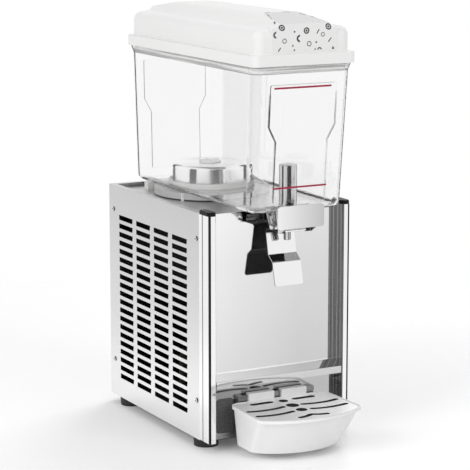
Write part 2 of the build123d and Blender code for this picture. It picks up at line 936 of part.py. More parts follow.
def lid():
    """Hollow cover with a flange over the bowl's rim and a skirt that locates inside it."""
    cap = rounded_slab(lid_half, lid_front, lid_rear, (lid_z, flange_top), lid_flange_radius)
    cap = fillet(cap.faces().sort_by(Axis.Z)[-1].edges(), lid_wall / 2)
    cap += lid_form(0)
    mouth_half, mouth_front, mouth_rear = bowl_sections(bowl_wall)[1]
    outer = (mouth_half - lid_skirt_fit, mouth_front + lid_skirt_fit, mouth_rear - lid_skirt_fit)
    inner = (outer[0] - lid_skirt_wall, outer[1] + lid_skirt_wall, outer[2] - lid_skirt_wall)
    skirt_low = lid_z - lid_skirt_drop
    skirt_radius = bowl_corner_radius - bowl_wall
    cap += rounded_slab(*outer, (skirt_low, lid_z), skirt_radius)
    cap -= lid_form(lid_wall)
    return cap - rounded_slab(*inner, (skirt_low, flange_top), skirt_radius - lid_skirt_wall)


# Drip tray

def tray_outline(inset, half_rear, half_front, rear, side_front, front):
    """Tray outline in plan: straight rear and sides, bowed front."""
    rear_left = (-half_rear + inset, rear - inset)
    rear_right = (half_rear - inset, rear - inset)
    front_right = (half_front - inset, side_front + inset)
    front_left = (-half_front + inset, side_front + inset)
    edges = [
        Line(rear_left, rear_right),
        Line(rear_right, front_right),
        ThreePointArc(front_right, (0, front + inset), front_left),
        Line(front_left, rear_left),
    ]
    return make_face(edges)


def tray_rim(inset):
    outline = tray_outline(
        inset, tray_half_rear, tray_half_front, tray_rear, tray_side_front, tray_front
    )
    return fillet(outline.vertices(), tray_corner_radius - inset)


def tray_form(inset, low):
    """Tapered tray body up to its rim, as a solid."""
    base = tray_outline(
        inset, tray_half_foot, tray_half_foot, tray_rear_foot, tray_side_front_foot, tray_front_foot
    )
    base = fillet(base.vertices(), tray_foot_radius - inset)
    return loft([Pos(0, 0, low) * base, Pos(0, 0, tray_rim_z) * tray_rim(tray_lip + inset)], ruled=True)


def tray_hook():
    """Upright tab on the rear wall that turns back and down over the rail."""
    x = (hook_inner, hook_inner + hook_width)
    top = rail_top_z + rail_gap
    lip_y = rail_y + rail_thick + rail_gap
    front = tray_rear - tray_wall
    hook = block(x, (front, tray_rear + hook_thick), (tray_rim_z - tray_lip_height, top))
    hook += block(x, (front, lip_y + hook_thick), (top, top + hook_thick))
    return hook + block(x, (lip_y, lip_y + hook_thick), (top - hook_lip, top))


def drip_tray():
    """Tapered tray with a lip round its rim, a seat for the grille and two hooks."""
    tray = tray_form(0, tray_bottom_z)
    tray += extrude(Pos(0, 0, tray_rim_z - tray_lip_height) * tray_rim(0), amount=tray_lip_height)
    seat_z = tray_rim_z - grille_sink - grille_thick
    hook = tray_hook()
    tray += hook + other_side(hook)
    tray -= tray_form(tray_wall, tray_bottom_z + tray_wall)
    return tray - extrude(Pos(0, 0, seat_z) * tray_rim(tray_wall), amount=rail_top_z)


def drip_grille():
    plate = tray_rim(tray_wall + grille_fit)
    for side in (-1, 1):
        length = grille_rear_outer - grille_rear_inner
        middle = (grille_rear_outer + grille_rear_inner) / 2
        plate -= Pos(side * middle, grille_rear_y) * SlotOverall(length, grille_rear_width)
        for row in range(2):
            y = arc_slot_first_y - row * arc_slot_pitch
            mid = (arc_slot_inner + arc_slot_outer) / 2
            arc = ThreePointArc(
                (side * arc_slot_inner, y), (side * mid, y - arc_slot_bow), (side * arc_slot_outer, y)
            )
            plate -= SlotArc(arc, grille_slot_width)
        tip = (side * nose_slot_outer, nose_slot_y - nose_slot_sweep)
        bend = (side * (nose_slot_inner + nose_slot_outer) / 2, nose_slot_y - nose_slot_sweep * 0.7)
        plate -= SlotArc(ThreePointArc((side * nose_slot_inner, nose_slot_y), bend, tip), grille_slot_width)
    for step, radius in enumerate(drain_radii):
        plate -= Pos(0, drain_rear_y - step * drain_front_step) * Circle(radius)
    low = tray_rim_z - grille_sink - grille_thick + seat_gap
    return extrude(Pos(0, 0, low) * plate, amount=grille_thick)


# Refrigeration set

def condenser():
    """Fin block on a serpentine of tubes, with an upright header at its right end."""
    y = (cond_y, cond_y + cond_depth)
    z = (z_floor, z_floor + cond_height)
    half_width = cond_width / 2
    core = Part()
    for fin in range(cond_fins):
        x = -half_width + fin * (cond_width - cond_fin_sheet) / (cond_fins - 1)
        core += block((x, x + cond_fin_sheet), y, z)
    header_x = half_width + header_gap + header_radius
    middle = cond_y + cond_depth / 2
    for tube in range(cond_tubes):
        level = z_floor + (tube + 0.5) * cond_height / cond_tubes
        core += rod_x((-half_width, header_x), middle, level, cond_tube_radius)
    return core + post(header_x, middle, z, header_radius)


def fan_shroud():
    y = (cond_y + cond_depth, cond_y + cond_depth + sheet)
    ring_y = (y[0], y[1] + shroud_ring_depth)
    half_width = cond_width / 2
    plate = block((-half_width, half_width), y, (z_floor, z_floor + cond_height))
    plate += rod_y(0, ring_y, fan_z, shroud_hole_radius + shroud_ring_wall)
    return plate - rod_y(0, ring_y, fan_z, shroud_hole_radius)


def fan_bracket():
    """Cross of two bars on four legs that carries the fan motor."""
    y = (bracket_y, bracket_y + bracket_thick)
    leg_x = cond_width / 2 - bracket_leg_inset
    leg_z = cond_height / 2 - bracket_leg_inset
    legs_y = (cond_y + cond_depth + sheet, y[1])
    bracket = Part()
    for side in (-1, 1):
        arm_z = fan_z + side * leg_z
        bracket += block((-leg_x, leg_x), y, (arm_z - bracket_bar_width / 2, arm_z + bracket_bar_width / 2))
        for end in (-1, 1):
            x = end * leg_x
            leg = Pos(x, sum(legs_y) / 2, arm_z) * Box(bracket_leg, legs_y[1] - legs_y[0], bracket_leg)
            bracket += leg
    bracket += block((-fan_motor_radius, fan_motor_radius), y, (fan_z - leg_z, fan_z + leg_z))
    return bracket - rod_y(0, y, fan_z, fan_shaft_radius + run_fit * 4)


def fan_motor():
    back = bracket_y + bracket_thick
    motor = rod_y(0, (back, back + fan_motor_length), fan_z, fan_motor_radius)
    motor = fillet(motor.edges().sort_by(Axis.Y)[-1], fan_motor_edge)
    return motor + rod_y(0, (fan_y + fan_gap, back), fan_z, fan_shaft_radius)


def fan_rotor():
    y = (fan_y, fan_y + fan_depth)
    rotor = rod_y(0, y, fan_z, fan_hub_radius)
    middle = sum(y) / 2
    reach = fan_radius - fan_hub_radius / 2
    blade = Pos(0, 0, fan_hub_radius / 2 + reach / 2) * Rot(0, 0, fan_blade_pitch) * Box(
        fan_blade_width, fan_blade_thick, reach
    )
    trim = rod_y(0, y, fan_z, fan_radius)
    for step in range(fan_blades):
        turned = Pos(0, middle, fan_z) * Rot(0, step * 360 / fan_blades, 0) * blade
        rotor += turned & trim
    return rotor - rod_y(0, (fan_y + fan_gap, y[1]), fan_z, fan_shaft_radius + run_fit)


def compressor():
    """Welded can on a sheet base with four grommets, and two pipe stubs on top."""
    can = post(comp_x, comp_y, (comp_z, comp_top), comp_radius)
    can = fillet(can.edges().filter_by(GeomType.CIRCLE), comp_edge_radius)
    seam = comp_z + comp_height / 2
    can += post(comp_x, comp_y, (seam, seam + comp_seam_height), comp_radius + comp_seam_proud)
    base_x = (comp_x - comp_base_half_x, comp_x + comp_base_half_x)
    base_y = (comp_y - comp_base_half_y, comp_y + comp_base_half_y)
    can += block(base_x, base_y, (comp_z - comp_base_sheet, comp_z + comp_base_sheet))
    for x in (base_x[0] + comp_foot_radius, base_x[1] - comp_foot_radius):
        for y in (base_y[0] + comp_foot_radius, base_y[1] - comp_foot_radius):
            can += post(x, y, (z_floor, comp_z), comp_foot_radius)
    for x in (comp_x - comp_stub_x, comp_x + comp_stub_x):
        stub_z = (comp_top - comp_edge_radius, comp_top + comp_stub_rise)
        can += post(x, comp_y, stub_z, comp_stub_radius)
    return can


def pipe(points):
    """Round pipe swept along a filleted path."""
    path = FilletPolyline(*points, radius=pipe_bend)
    section = Plane(origin=path @ 0, z_dir=path % 0) * Circle(pipe_radius)
    return sweep(section, path=path)


def discharge_pipe():
    start_z = comp_top + comp_stub_rise
    header_top = z_floor + cond_height
    high = max(start_z, header_top) + pipe_rise
    header_x = cond_width / 2 + header_gap + header_radius
    header_y = cond_y + cond_depth / 2
    start_x = comp_x + comp_stub_x
    return pipe([
        (start_x, comp_y, start_z), (start_x, comp_y, high), (header_x, comp_y, high),
        (header_x, header_y, high), (header_x, header_y, header_top),
    ])


def suction_pipe():
    start_z = comp_top + comp_stub_rise
    high = start_z + 2 * pipe_rise
    start_x = comp_x - comp_stub_x
    return pipe([
        (start_x, comp_y, start_z), (start_x, comp_y, high), (start_x, suction_y, high),
        (start_x, suction_y, deck_z + suction_rise),
    ])


def filter_drier():
    """Liquid line drier standing on a small foot."""
    low = z_floor + drier_stand
    drier = post(drier_x, drier_y, (low, low + drier_length), drier_radius)
    drier = fillet(drier.edges().filter_by(GeomType.CIRCLE), drier_radius / 2)
    high = low + drier_length
    drier += post(drier_x, drier_y, (high - drier_radius, high + drier_radius), pipe_radius)
    foot_x = (drier_x - drier_foot / 2, drier_x + drier_foot / 2)
    foot_y = (drier_y - drier_radius, drier_y + drier_radius)
    drier += block(foot_x, foot_y, (z_floor, z_floor + pan_sheet))
    return drier + post(drier_x, drier_y, (z_floor, low + drier_radius), pipe_radius)


# Controls and inlet on the rear panel

def thermostat():
    x = (knob_x - thermostat_width / 2, knob_x + thermostat_width / 2)
    z = (knob_z - thermostat_height / 2, knob_z + thermostat_height / 2)
    body = block(x, (rear_face - thermostat_depth, rear_face), z)
    reach = cab_depth + knob_gap + knob_length / 2
    return body + rod_y(knob_x, (rear_face, reach), knob_z, dial_shaft_radius)


def thermostat_knob():
    y = (cab_depth + knob_gap, cab_depth + knob_gap + knob_length)
    knob = rod_y(knob_x, y, knob_z, knob_radius)
    knob = fillet(knob.edges().sort_by(Axis.Y)[-1], knob_edge_radius)
    mark_x = (knob_x - knob_mark_width / 2, knob_x + knob_mark_width / 2)
    knob -= block(mark_x, (y[1] - knob_mark_depth, y[1]), (knob_z + knob_radius / 3, knob_z + knob_radius))
    return knob - rod_y(knob_x, (y[0], y[0] + knob_length / 2), knob_z, dial_shaft_radius + run_fit)


def switch_bodies():
    """Two switch housings, each a bezel outside the panel and a box behind it."""
    bodies = Part()
    wide = switch_width / 2
    tall = switch_height / 2
    for x in switch_xs:
        body_z = (switch_z - tall, switch_z + tall)
        body = block((x - wide, x + wide), (rear_face - switch_depth, cab_depth), body_z)
        frame_x = (x - wide - switch_bezel, x + wide + switch_bezel)
        frame_z = (switch_z - tall - switch_bezel, switch_z + tall + switch_bezel)
        body += block(frame_x, (cab_depth, cab_depth + switch_bezel_proud), frame_z)
        well_x = (x - wide + switch_bezel, x + wide - switch_bezel)
        well_z = (switch_z - tall + switch_bezel, switch_z + tall - switch_bezel)
        well_y = (cab_depth - rocker_thick, cab_depth + switch_bezel_proud)
        body -= block(well_x, well_y, well_z)
        reach = rocker_reach() + run_fit
        bodies += body - rod_x((x - reach, x + reach), cab_depth, switch_z, rocker_pin_radius + run_fit)
    return bodies


def rocker_reach():
    """Half length of a rocker's pin, out into the wall of its housing."""
    return switch_width / 2 - switch_bezel + rocker_pin_reach


def rocker(x):
    """Rocker tipped to its off position about its own pin."""
    wide = switch_width / 2 - switch_bezel - rocker_fit
    tall = switch_height / 2 - switch_bezel - rocker_fit
    key = block((-wide, wide), (-rocker_thick / 2, rocker_thick / 2), (-tall, tall))
    face = key.faces().sort_by(Axis.Y)[-1]
    key = fillet(face.edges().filter_by(Axis.X), rocker_thick / 4)
    key += rod_x((-rocker_reach(), rocker_reach()), 0, 0, rocker_pin_radius)
    return Pos(x, cab_depth, switch_z) * Rot(-rocker_tilt, 0, 0) * key


def power_inlet():
    """Appliance inlet: flange outside, body behind, cavity with three contact blades."""
    wide = inlet_width / 2
    tall = inlet_height / 2
    body_z = (inlet_z - tall, inlet_z + tall)
    body = block((inlet_x - wide, inlet_x + wide), (rear_face - inlet_depth, cab_depth), body_z)
    body += block(
        (inlet_x - wide - inlet_flange, inlet_x + wide + inlet_flange),
        (cab_depth, cab_depth + inlet_flange_thick),
        (inlet_z - tall - inlet_flange, inlet_z + tall + inlet_flange),
    )
    body -= block(
        (inlet_x - wide + inlet_wall, inlet_x + wide - inlet_wall),
        (rear_face - inlet_depth + inlet_wall, cab_depth + inlet_flange_thick),
        (inlet_z - tall + inlet_wall, inlet_z + tall - inlet_wall),
    )
    blade_y = (rear_face - inlet_depth, cab_depth - inlet_wall)
    blade_z = (inlet_z - inlet_blade_height / 2, inlet_z + inlet_blade_height / 2)
    for step in (-1, 0, 1):
        x = inlet_x + step * inlet_width / 4
        body += block((x - inlet_blade_width / 2, x + inlet_blade_width / 2), blade_y, blade_z)
    return body


def all_parts():
    """Every piece by its name."""
    foot_x = half - foot_inset
    foot_rear_y = cab_depth - foot_rear_gap
    parts = {
        "base_pan": base_pan(),
        "rear_panel": rear_panel(),
        "front_panel": front_panel(),
        "lower_front_panel": lower_front_panel(),
        "vent_filters": vent_filters(),
        "top_deck": top_deck(),
        "deck_pads": deck_pads(),
        "deck_collar": deck_collar(),
        "panel_screws": panel_screws(),
        "tray_rail": tray_rail(),
        "evaporator_drum": evaporator_drum(),
        "stirrer_impeller": stirrer_impeller(),
        "drive_magnet": drive_magnet(),
        "stirrer_shaft": stirrer_shaft(),
        "stirrer_motor": stirrer_motor(),
        "bowl": bowl(),
        "bowl_seal": bowl_seal(),
        "tap_cover": tap_cover(),
        "pivot_pin": pivot_pin(),
        "push_lever": push_lever(),
        "lever_backing": lever_backing(),
        "valve_plunger": valve_plunger(),
        "plunger_seal": plunger_seal(),
        "stem_collar": stem_collar(),
        "lid": lid(),
        "drip_tray": drip_tray(),
        "drip_grille": drip_grille(),
        "condenser": condenser(),
        "fan_shroud": fan_shroud(),
        "fan_bracket": fan_bracket(),
        "fan_motor": fan_motor(),
        "fan_rotor": fan_rotor(),
        "compressor": compressor(),
        "discharge_pipe": discharge_pipe(),
        "suction_pipe": suction_pipe(),
        "filter_drier": filter_drier(),
        "thermostat": thermostat(),
        "thermostat_knob": thermostat_knob(),
        "switch_bodies": switch_bodies(),
        "stirrer_rocker": rocker(switch_xs[0]),
        "cooling_rocker": rocker(switch_xs[1]),
        "power_inlet": power_inlet(),
    }
    paired = {
        "side_panel": side_panel(),
        "front_upright": upright(rear=False),
        "rear_upright": upright(rear=True),
        "front_post": front_post(),
        "corner_strip": corner_strip(),
        "post_cap": post_cap(),
        "front_foot": foot(foot_x, foot_front_y),
        "rear_foot": foot(foot_x, foot_rear_y),
    }
    for name, shape in paired.items():
        parts["right_" + name] = shape
        parts["left_" + name] = other_side(shape)
    return parts


os.makedirs("parts", exist_ok=True)
for node, shape in all_parts().items():
    export_step(Pos(0, y_shift, 0) * shape, f"parts/{node}.step")
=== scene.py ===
"""Cold drink dispenser: materials, prints, floor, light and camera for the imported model."""
from math import cos, pi, radians, sin

import bmesh
import bpy
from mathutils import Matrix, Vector


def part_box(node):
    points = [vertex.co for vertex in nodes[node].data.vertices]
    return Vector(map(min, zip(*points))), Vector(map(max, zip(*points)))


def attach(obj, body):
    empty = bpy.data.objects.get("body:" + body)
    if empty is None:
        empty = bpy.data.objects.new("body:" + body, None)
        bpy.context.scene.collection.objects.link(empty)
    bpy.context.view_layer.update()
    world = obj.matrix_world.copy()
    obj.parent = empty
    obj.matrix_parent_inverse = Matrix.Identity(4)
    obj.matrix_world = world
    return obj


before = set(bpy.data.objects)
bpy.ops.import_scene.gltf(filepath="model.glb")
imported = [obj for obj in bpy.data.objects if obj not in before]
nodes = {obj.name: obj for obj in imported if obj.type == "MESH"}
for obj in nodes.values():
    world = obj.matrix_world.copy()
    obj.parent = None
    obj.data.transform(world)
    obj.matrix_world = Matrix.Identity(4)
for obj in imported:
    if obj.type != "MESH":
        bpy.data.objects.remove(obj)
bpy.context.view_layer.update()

scene = bpy.context.scene


# Shader helpers

class Shader:
    """A material with a principled shader, and short ways to add and join nodes."""

    def __init__(self, name, **sockets):
        self.material = bpy.data.materials.new(name)
        self.material.use_nodes = True
        self.tree = self.material.node_tree
        self.bsdf = self.tree.nodes["Principled BSDF"]
        self.output = self.tree.nodes["Material Output"]
        for socket, value in sockets.items():
            self.bsdf.inputs[socket.replace("_", " ")].default_value = value

    def node(self, kind, **settings):
        made = self.tree.nodes.new(kind)
        for key, value in settings.items():
            setattr(made, key, value)
        return made

    def join(self, source, target):
        self.tree.links.new(source, target)

    def set(self, socket, source):
        self.join(source, self.bsdf.inputs[socket])

    def place(self):
        """Coordinates in the object's own frame, in metres."""
        return self.node("ShaderNodeTexCoord").outputs["Object"]

    def part_of(self, vector, name):
        split = self.node("ShaderNodeSeparateXYZ")
        self.join(vector, split.inputs[0])
        return split.outputs[name]

    def axis(self, name):
        """One coordinate in the object's own frame."""
        return self.part_of(self.place(), name)

    def facing(self, name):
        """One part of the surface normal in the object's own frame."""
        return self.part_of(self.node("ShaderNodeTexCoord").outputs["Normal"], name)

    def math(self, operation, first, second=None):
        made = self.node("ShaderNodeMath", operation=operation)
        for socket, value in zip(made.inputs, (first, second)):
            if value is None:
                continue
            if isinstance(value, (int, float)):
                socket.default_value = value
            else:
                self.join(value, socket)
        return made.outputs[0]

    def times(self, first, second):
        return self.math("MULTIPLY", first, second)

    def off(self, name, level=0.0):
        """Distance along one axis from a level on it."""
        return self.math("ABSOLUTE", self.math("SUBTRACT", self.axis(name), level))

    def noise(self, stretch, detail=4.0, rough=0.55):
        """Noise whose cells are stretched by a scale along each axis."""
        mapping = self.node("ShaderNodeMapping")
        mapping.inputs["Scale"].default_value = stretch
        self.join(self.place(), mapping.inputs["Vector"])
        made = self.node("ShaderNodeTexNoise")
        made.inputs["Scale"].default_value = 1.0
        made.inputs["Detail"].default_value = detail
        made.inputs["Roughness"].default_value = rough
        self.join(mapping.outputs[0], made.inputs["Vector"])
        return made.outputs["Fac"]

    def span(self, value, low, high, to_low, to_high):
        """Maps a value from one range to another, held at the ends."""
        made = self.node("ShaderNodeMapRange")
        ends = {"From Min": low, "From Max": high, "To Min": to_low, "To Max": to_high}
        for socket, number in ends.items():
            made.inputs[socket].default_value = number
        self.join(value, made.inputs["Value"])
        return made.outputs["Result"]

    def tint(self, value, dark, light):
        """Colour between two ends by a value."""
        made = self.node("ShaderNodeMix", data_type="RGBA")
        made.inputs["A"].default_value = (*dark, 1)
        made.inputs["B"].default_value = (*light, 1)
        self.join(value, made.inputs["Factor"])
        return made.outputs["Result"]

    def mix(self, value, first, second):
        """Two linked colours mixed by a value."""
        made = self.node("ShaderNodeMix", data_type="RGBA")
        self.join(first, made.inputs["A"])
        self.join(second, made.inputs["B"])
        self.join(value, made.inputs["Factor"])
        return made.outputs["Result"]

    def scaled(self, colour, amount):
        """A linked colour times a linked amount."""
        made = self.node("ShaderNodeVectorMath", operation="SCALE")
        self.join(colour, made.inputs[0])
        self.join(amount, made.inputs["Scale"])
        return made.outputs["Vector"]

    def shaded(self, colour, name, levels, amounts):
        """A linked colour scaled along one axis, from one amount to another between two levels."""
        return self.scaled(colour, self.span(self.axis(name), *levels, *amounts))

    def bump(self, height, strength, distance):
        made = self.node("ShaderNodeBump")
        made.inputs["Strength"].default_value = strength
        made.inputs["Distance"].default_value = distance
        self.join(height, made.inputs["Height"])
        self.set("Normal", made.outputs["Normal"])

    def upright_edge(self, low, high):
        """Rises from 0 to 1 where an upright face turns away from sight."""
        tilts = (0.35, 0.6)
        turned = self.span(self.node("ShaderNodeLayerWeight").outputs["Facing"], low, high, 0, 1)
        upright = self.span(self.math("ABSOLUTE", self.facing("Z")), *tilts, 1, 0)
        return self.times(turned, upright)

    def surface(self, amount, first, second):
        """Shows two shaders mixed by a value."""
        made = self.node("ShaderNodeMixShader")
        self.join(amount, made.inputs["Fac"])
        self.join(first.outputs[0], made.inputs[1])
        self.join(second.outputs[0], made.inputs[2])
        self.join(made.outputs[0], self.output.inputs["Surface"])


def grey(level):
    return (level, level, level)


# Ranges of a noise that are stretched out: soft for grain and haze, hard for painted streaks of
# reflection
grain_range = (0.3, 0.7)
haze_range = (0.35, 0.7)
painted_streak_range = (0.42, 0.58)

# Level of the deck in metres
deck_level = 0.389


# Metals

def sheet_steel(
    name, grain, light, rough, inner=None, lift=None, across=None, top_only=False, metal=1.0
):
    """Satin sheet with a fine grain.

    lift and across paint light and shade over its height and width. inner is an axis and the
    distance on it up to which the faces below the deck are painted dark, as shade inside.
    top_only paints all but the upward faces dark, as shade in its slots.
    """
    panel_heights, plate_sides = (0.05, 0.4), (-0.043, 0.043)
    shader = Shader(name, Metallic=metal)
    lines = shader.noise(grain, detail=6.0)
    cloud = shader.noise((9, 9, 9), detail=2.0)
    colour = shader.tint(lines, grey(light * 0.97), grey(light * 1.02))
    # Painted light and shade over the sheet's height and width
    if lift is not None:
        colour = shader.shaded(colour, "Z", panel_heights, lift)
    if across is not None:
        colour = shader.shaded(colour, "X", plate_sides, across)
    # Near black, for the painted shade inside the cabinet and in the slots
    dark = shader.tint(cloud, grey(0.03), grey(0.05))
    if inner is not None:
        axis, reach = inner
        outside = shader.math("GREATER_THAN", shader.off(axis), reach)
        over_deck = shader.math("GREATER_THAN", shader.axis("Z"), deck_level)
        colour = shader.mix(shader.math("MAXIMUM", outside, over_deck), dark, colour)
    # Painted shade: all but the upward faces go dark
    if top_only:
        upward = shader.math("GREATER_THAN", shader.facing("Z"), 0.5)
        colour = shader.mix(upward, dark, colour)
    shader.set("Base Color", colour)
    blend = shader.math("ADD", shader.times(lines, 0.6), shader.times(cloud, 0.4))
    shader.set("Roughness", shader.span(blend, *grain_range, rough * 0.9, rough * 1.12))
    shader.bump(lines, 0.04, 0.0002)
    return shader.material


def polished_steel(name, light, rough, across=None, lift=None, sill=None, crown=None, ledge=None):
    """Mirror sheet with faint polishing marks and wiping haze.

    across and lift paint light and shade over its width and height. Below the level sill it has
    painted light, and painted shade again at the lip. crown is half the width and the foot of a
    strip of painted shade under the bowl. ledge paints shade on the upward faces.
    """
    panel_sides, panel_heights = (-0.12, 0.05), (0.13, 0.38)
    sill_painted_light, lip_painted_shade, crown_painted_shade = 1.42, 0.72, 0.12
    shader = Shader(name, Metallic=1.0)
    marks = shader.noise((60, 60, 700), detail=5.0)
    haze = shader.noise((14, 14, 14), detail=3.0)
    colour = shader.tint(haze, grey(light * 0.975), grey(light * 1.015))
    # Painted light and shade over the width and height
    if across is not None:
        colour = shader.shaded(colour, "X", panel_sides, across)
    if lift is not None:
        colour = shader.shaded(colour, "Z", panel_heights, lift)
    # Painted light on the sill, and painted shade on its lip
    if sill is not None:
        sill_top, lip_top = (sill, sill + 0.001), (sill - 0.010, sill - 0.008)
        colour = shader.shaded(colour, "Z", sill_top, (sill_painted_light, 1))
        colour = shader.shaded(colour, "Z", lip_top, (lip_painted_shade, 1))
    # Painted shade: a dark strip under the bowl
    if crown is not None:
        half, foot = crown
        side_fade, foot_fade = (half, half + 0.006), (foot, foot + 0.0025)
        within = shader.span(shader.off("X"), *side_fade, 1, 0)
        strip = shader.times(within, shader.span(shader.axis("Z"), *foot_fade, 0, 1))
        colour = shader.scaled(colour, shader.span(strip, 0, 1, 1, crown_painted_shade))
    # Painted shade on the upward faces
    if ledge is not None:
        tilts = (0.3, 0.6)
        colour = shader.scaled(colour, shader.span(shader.facing("Z"), *tilts, 1, ledge))
    shader.set("Base Color", colour)
    shader.set("Roughness", shader.span(haze, *haze_range, rough * 0.8, rough * 1.3))
    shader.bump(marks, 0.012, 0.0001)
    return shader.material


def turned_steel(name, light, rough, stem=None, edge=None):
    """Lathe turned steel, whose fine rings draw reflections out.

    Below the level stem it has dark painted streaks of reflection. edge is the range of turning
    away from sight over which upright faces go dark, a painted dark reflection.
    """
    stem_gains, edge_gain = (0.12, 0.95), 0.1
    shader = Shader(name, Metallic=1.0, Anisotropic=0.92, Anisotropic_Rotation=0.25)
    rings = shader.noise((6, 6, 1800), detail=4.0)
    haze = shader.noise((16, 16, 16), detail=2.0)
    colour = shader.tint(rings, grey(light * 0.96), grey(light * 1.03))
    # Painted reflection: dark vertical streaks below the stem level
    if stem is not None:
        painted_streaks = shader.noise((420, 420, 0), detail=0.0)
        painted_streaks = shader.span(painted_streaks, *painted_streak_range, *stem_gains)
        body = shader.span(shader.axis("Z"), stem, stem + 0.002, 0, 1)
        colour = shader.scaled(colour, shader.math("MAXIMUM", painted_streaks, body))
    # Painted reflection: upright faces go dark as they turn away from sight
    if edge is not None:
        dark_edge = shader.span(shader.upright_edge(*edge), 0, 1, 1, edge_gain)
        colour = shader.scaled(colour, dark_edge)
    shader.set("Base Color", colour)
    shader.set("Roughness", shader.span(haze, *haze_range, rough * 0.9, rough * 1.1))
    tangent = shader.node("ShaderNodeTangent", direction_type="RADIAL", axis="Z")
    shader.set("Tangent", tangent.outputs[0])
    return shader.material


def post_steel(name, light, inner_x, seam_y):
    """Bright extrusion with a drawn line down its side and painted dark reflection on its inner
    face.
    """
    middle_x = 0.0009
    painted_highlight_line, painted_dark_line, line_fade = (-0.1135, 3.0), (-0.1203, 0.3), (0.0006, 0.0014)
    seam_fade, seam_gain = (0.0008, 0.0024), 0.4
    shader = Shader(name, Metallic=1.0)
    haze = shader.noise((14, 14, 14), detail=3.0)
    bright = shader.tint(haze, grey(light * 0.975), grey(light * 1.015))
    # Painted reflection on the inner face: dark, with vertical streaks, a bright line and a dark
    # line
    painted_streaks = shader.noise((0, 110, 0), detail=0.5)
    painted_dark_face = shader.tint(shader.span(painted_streaks, 0.4, 0.6, 0, 1), grey(0.14), grey(0.25))
    for line_y, gain in (painted_highlight_line, painted_dark_line):
        painted_dark_face = shader.scaled(painted_dark_face, shader.span(shader.off("Y", line_y), *line_fade, gain, 1))
    inside = shader.math("LESS_THAN", shader.off("X", middle_x), inner_x)
    seam = shader.span(shader.off("Y", seam_y), *seam_fade, seam_gain, 1)
    shader.set("Base Color", shader.mix(inside, shader.scaled(bright, seam), painted_dark_face))
    shader.set("Roughness", shader.span(haze, *haze_range, 0.06, 0.1))
    return shader.material


def dull_metal(name, dark, light, rough, metallic):
    """Galvanised, enamelled or drawn metal for the pieces inside."""
    shader = Shader(name, Metallic=metallic)
    spots = shader.noise((120, 120, 120), detail=4.0)
    shader.set("Base Color", shader.tint(spots, dark, light))
    shader.set("Roughness", shader.span(spots, *grain_range, rough * 0.85, rough * 1.15))
    shader.bump(spots, 0.06, 0.0002)
    return shader.material


def screw_metal(name, face_x):
    """Bright screw heads with painted shade in the cross and on the flanks."""
    shader = Shader(name, Metallic=1.0)
    spots = shader.noise((120, 120, 120), detail=4.0)
    # Painted shade: all but the head's face go dark
    face = shader.span(shader.off("X"), face_x, face_x + 0.0002, 0, 1)
    dark = shader.tint(spots, grey(0.02), grey(0.04))
    bright = shader.tint(spots, grey(0.78), grey(0.86))
    shader.set("Base Color", shader.mix(face, dark, bright))
    shader.set("Roughness", shader.span(spots, *grain_range, 0.2, 0.26))
    return shader.material


# Plastics, foam and ink

def moulded(name, dark, light, rough, grain_scale, grain_strength, shine=0.5, shade=None):
    """Moulded plastic: slight colour drift, a fine surface grain and an optional painted shade by
    place.
    """
    shader = Shader(name, Specular_IOR_Level=shine)
    drift = shader.noise((11, 11, 11), detail=2.0)
    grain = shader.noise((grain_scale, grain_scale, grain_scale), detail=3.0)
    colour = shader.tint(drift, dark, light)
    if shade is not None:
        colour = shader.scaled(colour, shade(shader))
    shader.set("Base Color", colour)
    shader.set("Roughness", shader.span(grain, *grain_range, rough * 0.88, rough * 1.15))
    shader.bump(grain, grain_strength, 0.0002)
    return shader.material


def lid_shade(shader):
    """Front end of the lid's ridge a little darker, with painted shade deeper on faces turned up,
    and painted light on the skirt inside the bowl.
    """
    grey_front_half, grey_front_foot = 0.0585, 0.6606
    painted_shade_tilts, painted_shade_losses = (0.4, 0.9), (0.04, 0.22)
    skirt_top, skirt_painted_light = (0.6415, 0.6425), 1.15
    near = shader.math("LESS_THAN", shader.off("X"), grey_front_half)
    above = shader.math("GREATER_THAN", shader.axis("Z"), grey_front_foot)
    ahead = shader.math("LESS_THAN", shader.facing("Y"), -0.1)
    grey_front = shader.times(shader.times(near, above), ahead)
    # Painted shade, deeper the more a face turns up
    loss = shader.times(grey_front, shader.span(shader.facing("Z"), *painted_shade_tilts, *painted_shade_losses))
    # Painted light on the skirt inside the bowl
    skirt = shader.span(shader.axis("Z"), *skirt_top, skirt_painted_light, 1)
    return shader.times(shader.math("SUBTRACT", 1.0, loss), skirt)


def tray_shade(shader):
    """Painted shade on the faces inside the tray, and painted light and shade across it."""
    middle_y, painted_shade_top, painted_shade_gain = -0.19, 0.0735, 0.22
    sides, painted_side_gains = (-0.07, 0.08), (1.05, 0.86)
    # Painted shade on faces turned inward and upward faces, below the rim level
    out_x = shader.times(shader.facing("X"), shader.axis("X"))
    from_middle = shader.math("SUBTRACT", shader.axis("Y"), middle_y)
    out_y = shader.times(shader.facing("Y"), from_middle)
    turned_in = shader.math("LESS_THAN", shader.math("ADD", out_x, out_y), 0)
    upward = shader.math("GREATER_THAN", shader.facing("Z"), 0.5)
    inner = shader.math("MAXIMUM", turned_in, upward)
    below = shader.math("LESS_THAN", shader.axis("Z"), painted_shade_top)
    painted_shade = shader.span(shader.times(inner, below), 0, 1, 1, painted_shade_gain)
    # Painted light and shade across the tray, lighter on its left
    return shader.times(painted_shade, shader.span(shader.axis("X"), *sides, *painted_side_gains))


def collar_shade(shader):
    """Painted shadow line where the collar stands on the deck."""
    shadow_line_level, shadow_line_fade, shadow_line_gain = deck_level + 0.0025, (0.0011, 0.0016), 0.05
    return shader.span(shader.off("Z", shadow_line_level), *shadow_line_fade, shadow_line_gain, 1)


